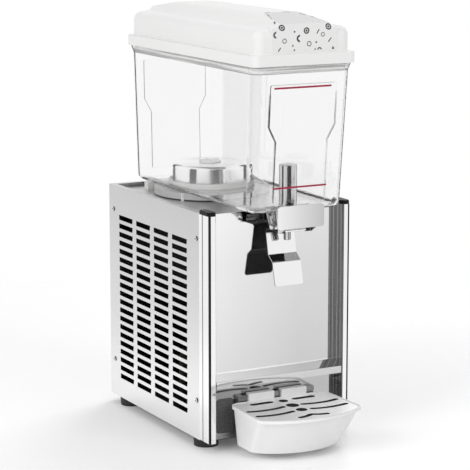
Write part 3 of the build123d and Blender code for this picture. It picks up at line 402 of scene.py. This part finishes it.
def relief_line(shader):
    """Painted dark lines of refraction down both edges of the relief on the bowl's front, strongest
    at the knee.
    """
    flare, half_widths, line_fade = (0.521, 0.545), (0.048, 0.061), (0.0005, 0.0011)
    knee_level, knee_fade, strengths = 0.55, (0.02, 0.05), (0.9, 0.45)
    middle_level, end_fade = 0.512, (0.083, 0.088)
    half = shader.span(shader.axis("Z"), *flare, *half_widths)
    from_edge = shader.math("ABSOLUTE", shader.math("SUBTRACT", shader.off("X"), half))
    line = shader.span(from_edge, *line_fade, 1, 0)
    strength = shader.span(shader.off("Z", knee_level), *knee_fade, *strengths)
    within = shader.span(shader.off("Z", middle_level), *end_fade, 1, 0)
    ahead = shader.math("LESS_THAN", shader.axis("Y"), 0)
    return shader.times(shader.times(shader.times(line, strength), within), ahead)


def clear_plastic(name):
    """Clear moulding with the slightest flow ripple, a rim in painted shade and streaks, and
    painted dark edges.
    """
    rim_foot, rim_painted_shade, painted_streak_gains = (0.6290, 0.6296), 0.9, (0.66, 1.22)
    rim_line, line_fade, rim_line_shade = 0.6304, (0.0006, 0.0014), 0.7
    flat_range, edge_range = (0.93, 0.97), (0.6, 0.82)
    shader = Shader(
        name, Roughness=0.012, IOR=1.45, Transmission_Weight=1.0, Specular_Tint=(*grey(0.3), 1)
    )
    flow = shader.noise((22, 22, 9), detail=1.0)
    colour = shader.tint(flow, grey(0.975), grey(0.99))
    # Painted shade on the rim, with painted streaks of reflection along it
    colour = shader.shaded(colour, "Z", rim_foot, (1, rim_painted_shade))
    painted_streaks = shader.span(shader.noise((5, 5, 420), detail=1.0), *painted_streak_range, *painted_streak_gains)
    in_rim = shader.math("GREATER_THAN", shader.axis("Z"), rim_foot[1])
    colour = shader.scaled(colour, shader.math("POWER", painted_streaks, in_rim))
    # Painted shade line near the rim's foot
    line = shader.span(shader.off("Z", rim_line), *line_fade, rim_line_shade, 1)
    colour = shader.scaled(colour, line)
    # Painted dark edges where upright walls turn away from sight, and the relief's painted lines
    sides = [shader.math("ABSOLUTE", shader.facing(side)) for side in ("X", "Y")]
    rounded = shader.span(shader.math("MAXIMUM", *sides), *flat_range, 1, 0)
    edge = shader.times(shader.upright_edge(*edge_range), rounded)
    edge = shader.math("MAXIMUM", edge, relief_line(shader))
    shader.set("Base Color", shader.scaled(colour, shader.span(edge, 0, 1, 1, 0)))
    shader.bump(flow, 0.02, 0.0006)
    depth = shader.node("ShaderNodeVolumeAbsorption")
    depth.inputs["Color"].default_value = (*grey(0.46), 1)
    depth.inputs["Density"].default_value = 10.0
    shader.join(depth.outputs[0], shader.output.inputs["Volume"])
    return shader.material


def foam(name, dark, light):
    """Open cell foam: coarse pores and no shine."""
    shader = Shader(name, Roughness=0.95)
    pores = shader.node("ShaderNodeTexVoronoi")
    pores.inputs["Scale"].default_value = 450.0
    shader.join(shader.place(), pores.inputs["Vector"])
    shader.set("Base Color", shader.tint(pores.outputs["Distance"], dark, light))
    shader.bump(pores.outputs["Distance"], 0.4, 0.0006)
    return shader.material


def printed(name, dark, light, rough):
    """Screen printed ink with a grain of its own."""
    shader = Shader(name, Roughness=rough)
    grain = shader.noise((900, 900, 900), detail=2.0)
    shader.set("Base Color", shader.tint(grain, dark, light))
    return shader.material


# Sheets, each with its grain, lightness and roughness
# Painted shade on the sides, darker towards the top, and on their faces inside
side_steel = sheet_steel(
    "side_sheet", (40, 3, 1500), 0.80, 0.34, inner=("X", 0.1319), lift=(1.0, 0.74)
)
# Painted shade across the deck, darker on its left
deck_steel = sheet_steel("deck_sheet", (1200, 3, 40), 0.73, 0.3, across=(0.87, 1.0))
# Painted shade on the rear sheet's faces inside
rear_steel = sheet_steel("rear_sheet", (3, 40, 1500), 0.74, 0.36, inner=("Y", 0.2526))
# Painted light and shade across the tap cover, lighter on its left
plate_steel = sheet_steel("plate_sheet", (900, 900, 30), 0.78, 0.24, across=(1.10, 0.69))
rail_steel = sheet_steel("rail_sheet", (3, 40, 900), 0.3, 0.3)
# Painted light and shade across the grille, and painted shade in its slots
grille_steel = sheet_steel(
    "grille_sheet", (900, 30, 900), 0.92, 0.34, across=(0.82, 1.08), top_only=True, metal=0.15
)

# Bright metals, each with its lightness and, but for posts and screws, its roughness
# Painted light and shade across and up the front, painted light on the sill, and painted shade on
# its lip and under the bowl
front_mirror = polished_steel(
    "front_mirror", 0.84, 0.05,
    across=(1.02, 0.84), lift=(0.83, 1.06), sill=0.1285, crown=(0.058, 0.3775),
)
# Painted shade over the lower front, darker on its left
lower_mirror = polished_steel("lower_mirror", 0.9, 0.06, across=(0.44, 0.53))
bright_steel = polished_steel("bright_steel", 0.86, 0.05)
# Painted shade on the lever's upward faces
lever_steel = polished_steel("lever_steel", 0.86, 0.05, ledge=0.42)
# Painted dark reflection at the drum's edges
drum_steel = turned_steel("drum_steel", 0.97, 0.2, edge=(0.6, 0.76))
# Painted streaks of reflection on the stem below the deck
plunger_steel = turned_steel("plunger_steel", 0.68, 0.22, stem=deck_level)
# Painted dark reflection on the posts' inner faces
post_mirror = post_steel("post_mirror", 0.88, inner_x=0.1213, seam_y=-0.1058)
# Painted shade in the screws' crosses and on their flanks
screw_steel = screw_metal("screw_steel", face_x=0.1338)

# Dull metals, each with its darkest and lightest colour, roughness and share of metal
# Near black: painted shade on the pieces inside the cabinet
grey_metal = dull_metal("inner_steel_in_painted_shade", grey(0.03), grey(0.05), 0.5, 0.2)
black_metal = dull_metal("black_enamel", grey(0.012), grey(0.022), 0.42, 0.0)
copper = dull_metal("copper_tube", (0.10, 0.045, 0.026), (0.16, 0.07, 0.04), 0.35, 1.0)
# Copper darkened to near black: painted shade behind the vents
drier_copper = dull_metal("drier_copper", (0.02, 0.014, 0.011), (0.032, 0.021, 0.016), 0.5, 0.6)
fins = dull_metal("fin_sheet", grey(0.05), grey(0.09), 0.45, 0.8)

# Plastics, each with its darkest and lightest colour, roughness, and scale and strength of grain
lid_white = moulded(
    "lid_white", (0.82, 0.82, 0.815), (0.85, 0.85, 0.846), 0.34, 700, 0.03, shade=lid_shade
)
tray_white = moulded("tray_white", grey(0.82), grey(0.85), 0.22, 500, 0.015, shade=tray_shade)
part_white = moulded("part_white", (0.74, 0.74, 0.73), (0.80, 0.80, 0.79), 0.4, 600, 0.03)
seal_white = moulded("seal_white", (0.88, 0.88, 0.87), (0.92, 0.92, 0.91), 0.55, 500, 0.05)
collar_grey = moulded("collar_grey", grey(0.46), grey(0.54), 0.4, 500, 0.04, shade=collar_shade)
black_plastic = moulded("black_plastic", grey(0.005), grey(0.009), 0.36, 900, 0.08, shine=0.12)
lever_black = moulded("lever_black", grey(0.012), grey(0.018), 0.45, 700, 0.06, shine=0.3)
rubber = moulded("black_rubber", grey(0.008), grey(0.016), 0.6, 500, 0.15)
red_plastic = moulded("red_plastic", (0.42, 0.02, 0.02), (0.50, 0.03, 0.03), 0.25, 500, 0.02)
green_plastic = moulded("green_plastic", (0.03, 0.25, 0.07), (0.04, 0.31, 0.09), 0.25, 500, 0.02)
clear = clear_plastic("clear_bowl")
filter_foam = foam("filter_foam", grey(0.07), grey(0.16))

# Inks, each with its darkest and lightest colour and roughness
ink_dark = printed("ink_dark", grey(0.02), grey(0.035), 0.5)
ink_grey = printed("ink_grey", grey(0.07), grey(0.10), 0.5)
ink_red = printed("ink_red", (0.28, 0.004, 0.03), (0.33, 0.007, 0.045), 0.45)

finish = {
    side_steel: ["left_side_panel", "right_side_panel"],
    deck_steel: ["top_deck"],
    rear_steel: ["rear_panel"],
    front_mirror: ["front_panel"],
    lower_mirror: ["lower_front_panel"],
    plate_steel: ["tap_cover"],
    screw_steel: ["panel_screws"],
    post_mirror: ["left_front_post", "right_front_post"],
    bright_steel: ["stem_collar", "pivot_pin"],
    lever_steel: ["push_lever"],
    plunger_steel: ["valve_plunger"],
    drum_steel: ["evaporator_drum"],
    grey_metal: [
        "base_pan", "stirrer_shaft", "stirrer_motor", "fan_shroud", "fan_bracket",
        "left_front_upright", "right_front_upright", "left_rear_upright", "right_rear_upright",
    ],
    black_metal: ["compressor", "fan_motor", "drive_magnet"],
    rail_steel: ["tray_rail"],
    copper: ["discharge_pipe", "suction_pipe"],
    drier_copper: ["filter_drier"],
    fins: ["condenser"],
    lid_white: ["lid"],
    tray_white: ["drip_tray"],
    part_white: ["deck_pads", "stirrer_impeller"],
    collar_grey: ["deck_collar", "thermostat"],
    seal_white: ["bowl_seal", "plunger_seal"],
    grille_steel: ["drip_grille"],
    black_plastic: [
        "left_corner_strip", "right_corner_strip", "left_post_cap", "right_post_cap",
        "fan_rotor", "thermostat_knob", "switch_bodies", "power_inlet",
    ],
    lever_black: ["lever_backing"],
    filter_foam: ["vent_filters"],
    rubber: ["left_front_foot", "right_front_foot", "left_rear_foot", "right_rear_foot"],
    red_plastic: ["stirrer_rocker"],
    green_plastic: ["cooling_rocker"],
    clear: ["bowl"],
}
for material, names in finish.items():
    for name in names:
        for material_slot in nodes[name].material_slots:
            material_slot.link = "OBJECT"
            material_slot.material = material
nodes["bowl"].visible_shadow = False


# Making pieces

def new_piece(name, build_mesh, material, closed):
    """Object from a mesh builder, with the faces of a closed shape turned outward."""
    mesh = bpy.data.meshes.new(name)
    build = bmesh.new()
    build_mesh(build)
    if closed:
        bmesh.ops.recalc_face_normals(build, faces=build.faces)
    build.to_mesh(mesh)
    build.free()
    piece = bpy.data.objects.new(name, mesh)
    scene.collection.objects.link(piece)
    mesh.materials.append(material)
    return piece


def made_piece(name, build_mesh, material, body):
    """Adds a closed piece that rides on a body."""
    piece = new_piece(name, build_mesh, material, closed=True)
    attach(piece, body)


def staged(name, build_mesh, material):
    """Adds an open piece of the studio."""
    piece = new_piece(name, build_mesh, material, closed=False)
    return piece


# Outlines and films of print

def film(build, outline, inner, front, depth):
    """Thin closed film from an outline of (x, z) points, with an optional hole of as many."""
    rings = [outline] if inner is None else [outline, inner]
    layers = []
    for y in (front, front + depth):
        layers.append([[build.verts.new((x, y, z)) for x, z in ring] for ring in rings])
    count = len(outline)
    for near, far in zip(layers[0], layers[1]):
        for i in range(count):
            j = (i + 1) % count
            build.faces.new((near[i], near[j], far[j], far[i]))
    for layer in layers:
        if inner is None:
            build.faces.new(layer[0])
            continue
        for i in range(count):
            j = (i + 1) % count
            build.faces.new((layer[0][i], layer[0][j], layer[1][j], layer[1][i]))


def turned_point(x, z, u, v, turn):
    """The point at (u, v) from (x, z), turned round it by an angle."""
    return x + u * cos(turn) - v * sin(turn), z + u * sin(turn) + v * cos(turn)


def round_points(x, z, radius, stretch=1.0, turn=0.0, steps=36):
    """Points round an oval whose long side is turned by an angle."""
    points = []
    for step in range(steps):
        angle = 2 * pi * step / steps
        u = radius * stretch * cos(angle)
        points.append(turned_point(x, z, u, radius * sin(angle), turn))
    return points


def dash_points(x, z, length, width, turn, steps=8):
    """Points round a bar with round ends."""
    points = []
    for end in (0, pi):
        for step in range(steps + 1):
            angle = end + pi * (step / steps - 0.5)
            u = cos(end) * length / 2 + width / 2 * cos(angle)
            points.append(turned_point(x, z, u, width / 2 * sin(angle), turn))
    return points


def arc_points(x, z, radius, width, turn, steps=16):
    """Points round half a ring."""
    there = range(steps + 1)
    points = []
    for reach, way in ((radius, there), (radius - width, reversed(there))):
        for step in way:
            angle = turn + pi * step / steps
            points.append((x + reach * cos(angle), z + reach * sin(angle)))
    return points


def triangle_points(x, z, size):
    return [(x - size / 2, z), (x + size / 2, z), (x, z + size)]


# Where lines towards the object start, well outside it
line_start = 2.0


def first_hit(name, start, direction):
    """Where a straight line first meets a node."""
    _, where, _, _ = nodes[name].ray_cast(Vector(start), Vector(direction))
    return where


# Print on the lid

# Thickness of the ink, and the front face of the lid with the foot of its print
ink = 0.00005
lid_low, lid_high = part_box("lid")
apron_y = lid_low.y + 0.006
apron_base = lid_high.z - 0.0602

# Shares of a ring's size, and widths of dashes in metres
ring_hole, ring_middle, ring_oval = 0.58, 0.36, 1.25
half_ring_width, pale_ring_hole = 0.5, 0.66
dash_width, slope_half_width = 0.0017, 0.0009

# Marks on the front as (x, height above the flange, size, turn), in millimetres and degrees
double_rings = [(-41, 42, 4.7, -28), (4, 36, 5.2, 0), (44, 41, 4.7, -42)]
single_rings = [(-36, 21, 4.0, 0), (9, 15, 4.2, 0), (34, 29, 3.6, 0)]
half_rings = [(-51, 31, 5.4, 90), (-8, 24, 6.0, 90), (28, 5, 4.0, 0)]
dots = [(-18, 35, 1.6, 0), (-21, 13, 1.5, 0), (22, 17, 1.6, 0), (-18, 6, 1.5, 0), (20, 6, 1.3, 0)]
dashes = [(-45, 8, 6.0, 52), (25, 34, 6.5, 58), (47, 20, 7.0, 50)]
triangles = [(53, 5, 5.0, 0)]

# Dashes on the ridge's front slope, as (x, distance behind the front) of both ends in millimetres
slope_dashes = [
    ((-27, 78), (-18, 78)), ((-30, 66), (-34, 52)), ((-37, 44), (-40, 34)), ((4, 78), (18, 78)),
    ((29, 66), (33, 54)), ((37, 42), (40, 30)), ((-43, 22), (-45, 14)), ((42, 18), (44, 10)),
]


def placed(marks):
    """The marks in metres and radians, at their heights."""
    for x, rise, size, turn in marks:
        yield x / 1000, apron_base + rise / 1000, size / 1000, radians(turn)


def dark_marks(build):
    """Rings, half rings, dashes and triangles printed dark on the lid's front."""
    front = apron_y - ink
    for x, z, size, turn in placed(double_rings):
        oval = ring_oval if turn else 1.0
        hole = round_points(x, z, size * ring_hole, oval, turn)
        film(build, round_points(x, z, size, oval, turn), hole, front, ink)
        film(build, round_points(x, z, size * ring_middle, oval, turn), None, front, ink)
    for x, z, size, turn in placed(half_rings):
        film(build, arc_points(x, z, size, size * half_ring_width, turn), None, front, ink)
    for x, z, size, turn in placed(dashes):
        film(build, dash_points(x, z, size, dash_width, turn), None, front, ink)
    for x, z, size, _ in placed(triangles):
        film(build, triangle_points(x, z, size), None, front, ink)


def pale_marks(build):
    """Open rings and dots printed grey on the lid's front."""
    front = apron_y - ink
    for x, z, size, _ in placed(single_rings):
        hole = round_points(x, z, size * pale_ring_hole)
        film(build, round_points(x, z, size), hole, front, ink)
    for x, z, size, _ in placed(dots):
        film(build, round_points(x, z, size, steps=20), None, front, ink)


def slope_marks(build):
    """Thin strips of print lying on the front slope of the ridge."""
    for (x0, run0), (x1, run1) in slope_dashes:
        start = Vector((x0 / 1000, apron_y + run0 / 1000, 0))
        end = Vector((x1 / 1000, apron_y + run1 / 1000, 0))
        along = (end - start).normalized() * slope_half_width
        across = Vector((-along.y, along.x, 0))
        low, high = [], []
        for corner in (start - across, end - across, end + across, start + across):
            where = first_hit("lid", (corner.x, corner.y, line_start), (0, 0, -1))
            low.append(build.verts.new((corner.x, corner.y, where.z)))
        for vertex in low:
            high.append(build.verts.new((vertex.co.x, vertex.co.y, vertex.co.z + ink * 2)))
        build.faces.new(low)
        build.faces.new(high)
        for i in range(4):
            j = (i + 1) % 4
            build.faces.new((low[i], low[j], high[j], high[i]))


made_piece("lid_print_dark", dark_marks, ink_dark, "lid")
made_piece("lid_print_slope", slope_marks, ink_grey, "lid")
made_piece("lid_print_grey", pale_marks, ink_grey, "lid")


# Level lines on the bowl's front

line_band = 0.003


def level_line(height, left, right):
    """Thin red film lying on the sloping front face."""
    def build_line(build):
        rows = []
        for z in (height - line_band / 2, height + line_band / 2):
            y = first_hit("bowl", (0, -line_start, z), (0, 1, 0)).y
            ends = [(x, y - gap, z) for gap in (0, ink * 2) for x in (left, right)]
            rows.append([build.verts.new(end) for end in ends])
        low, high = rows
        build.faces.new((low[0], low[1], high[1], high[0]))
        build.faces.new((low[2], low[3], high[3], high[2]))
        build.faces.new((low[0], low[1], low[3], low[2]))
        build.faces.new((high[0], high[1], high[3], high[2]))
        build.faces.new((low[0], low[2], high[2], high[0]))
        build.faces.new((low[1], low[3], high[3], high[1]))
    return build_line


upper_line = level_line(height=0.6072, left=-0.055, right=0.050)
lower_line = level_line(height=0.4450, left=-0.049, right=0.049)
made_piece("upper_level_line", upper_line, ink_red, "bowl")
made_piece("lower_level_line", lower_line, ink_red, "bowl")


# Floor

floor_reach = 1.7
floor_steps = 96


def floor_mesh(build):
    """Round floor at ground level."""
    turns = [2 * pi * step / floor_steps for step in range(floor_steps)]
    rim = [(floor_reach * cos(turn), floor_reach * sin(turn), 0) for turn in turns]
    build.faces.new([build.verts.new(point) for point in rim])


def floor_material():
    """White floor that keeps its shadows near the object and fades out into the white round it.

    It glows a little to the eye and in mirrors, and in mirrors more on the object's left.
    """
    seen_glow, left_glow = 0.09, 0.3
    left_range, glow_reach, fade_reach = (-0.1, -0.3), (0.3, 0.9), (0.5, 1.5)
    shader = Shader(
        "studio_floor", Roughness=0.6, Specular_IOR_Level=0.15, Emission_Color=(1, 1, 1, 1)
    )
    fleck = shader.noise((60, 60, 60), detail=2.0)
    shader.set("Base Color", shader.tint(fleck, grey(0.92), grey(0.94)))
    length = shader.node("ShaderNodeVectorMath", operation="LENGTH")
    shader.join(shader.place(), length.inputs[0])
    away = length.outputs["Value"]
    path = shader.node("ShaderNodeLightPath").outputs
    seen = shader.math("ADD", path["Is Camera Ray"], path["Is Transmission Ray"])
    seen = shader.math("ADD", seen, path["Is Glossy Ray"])
    beside = shader.span(shader.axis("X"), *left_range, 0, 1)
    beside = shader.times(beside, shader.span(away, *glow_reach, left_glow, 0))
    mirrored = shader.times(path["Is Glossy Ray"], beside)
    glow = shader.math("ADD", shader.times(seen, seen_glow), mirrored)
    shader.set("Emission Strength", glow)
    gone = shader.node("ShaderNodeBsdfTransparent")
    shader.surface(shader.span(away, *fade_reach, 0, 1), shader.bsdf, gone)
    return shader.material


staged("floor", floor_mesh, floor_material())


# Dark cards round the object that only mirrors show

card_middle = -0.05
card_reach = 0.75
card_low, card_high = 0.005, 0.9
card_steps = 10


def card_material():
    """Dark felt that only mirrored rays meet, so that none of it is seen straight through."""
    shader = Shader("card_grey", Roughness=0.9)
    weave = shader.noise((40, 40, 40), detail=2.0)
    shader.set("Base Color", shader.tint(weave, grey(0.004), grey(0.01)))
    path = shader.node("ShaderNodeLightPath").outputs
    mirrored = shader.math("GREATER_THAN", path["Glossy Depth"], 0.5)
    gone = shader.node("ShaderNodeBsdfTransparent")
    shader.surface(mirrored, gone, shader.bsdf)
    return shader.material


def card_mesh(start, end):
    """Upright curved card between two bearings, in degrees from straight ahead."""
    def build_card(build):
        rows = []
        for step in range(card_steps + 1):
            angle = radians(start + (end - start) * step / card_steps)
            x = card_reach * sin(angle)
            y = card_middle - card_reach * cos(angle)
            rows.append([build.verts.new((x, y, z)) for z in (card_low, card_high)])
        for near, far in zip(rows, rows[1:]):
            build.faces.new((near[0], far[0], far[1], near[1]))
    return build_card


dark_card = card_material()

# Name, first and last bearing, and whether it is for the metal behind the bowl's walls
cards = [
    ("left_card", -97, -83, False),
    ("bowl_left_card", -104, -80, True),
    ("bowl_front_card", -34, 12, True),
    ("bowl_right_card", 106, 129, True),
    ("bowl_rear_card", 181, 199, True),
]
for name, start, end, through_bowl in cards:
    card = staged(name, card_mesh(start, end), dark_card)
    card.visible_camera = False
    card.visible_diffuse = False
    card.visible_shadow = False
    card.visible_glossy = not through_bowl
    card.visible_transmission = through_bowl


# World and lamps

def studio_world(seen_strength, light_strength):
    """White all round, at one strength where it is seen and at another as light."""
    world = bpy.data.worlds.new("studio")
    world.use_nodes = True
    tree = world.node_tree
    tree.nodes.clear()
    path = tree.nodes.new("ShaderNodeLightPath").outputs
    direct = tree.nodes.new("ShaderNodeMath")
    direct.operation = "ADD"
    tree.links.new(path["Is Camera Ray"], direct.inputs[0])
    tree.links.new(path["Is Glossy Ray"], direct.inputs[1])
    seen = tree.nodes.new("ShaderNodeMath")
    seen.operation = "ADD"
    seen.use_clamp = True
    tree.links.new(direct.outputs[0], seen.inputs[0])
    tree.links.new(path["Is Transmission Ray"], seen.inputs[1])
    strength = tree.nodes.new("ShaderNodeMapRange")
    strength.inputs["To Min"].default_value = light_strength
    strength.inputs["To Max"].default_value = seen_strength
    tree.links.new(seen.outputs[0], strength.inputs["Value"])
    background = tree.nodes.new("ShaderNodeBackground")
    background.inputs["Color"].default_value = (1, 1, 1, 1)
    tree.links.new(strength.outputs["Result"], background.inputs["Strength"])
    output = tree.nodes.new("ShaderNodeOutputWorld")
    tree.links.new(background.outputs[0], output.inputs["Surface"])
    return world


scene.world = studio_world(seen_strength=1.0, light_strength=0.56)
lamp_aim = Vector((0, 0, 0.3))


def lamp(name, where, width, height, power):
    """Rectangular soft lamp turned towards the object."""
    data = bpy.data.lights.new(name, "AREA")
    data.shape = "RECTANGLE"
    data.size = width
    data.size_y = height
    data.energy = power
    made = bpy.data.objects.new(name, data)
    made.location = where
    made.rotation_euler = (lamp_aim - Vector(where)).to_track_quat("-Z", "Y").to_euler()
    scene.collection.objects.link(made)
    made.visible_camera = False
    made.visible_glossy = False
    made.visible_transmission = False


lamp("left_lamp", (-2.6, -0.8, 1.5), width=1.6, height=1.6, power=35)
lamp("front_lamp", (0.7, -2.7, 1.5), width=1.8, height=1.4, power=24)
lamp("rear_lamp", (1.5, 1.3, 2.4), width=1.4, height=1.4, power=26)


# Camera

camera_data = bpy.data.cameras.new("camera")
camera_data.sensor_width = 36
camera_data.lens = 151.70
camera_data.clip_start = 0.1
camera_data.clip_end = 60
camera = bpy.data.objects.new("camera", camera_data)
camera.location = (-1.58429, -2.90933, 0.96060)
camera.rotation_euler = (radians(79.29), 0, radians(-28.34))
scene.collection.objects.link(camera)
scene.camera = camera
scene.view_settings.view_transform = "Standard"
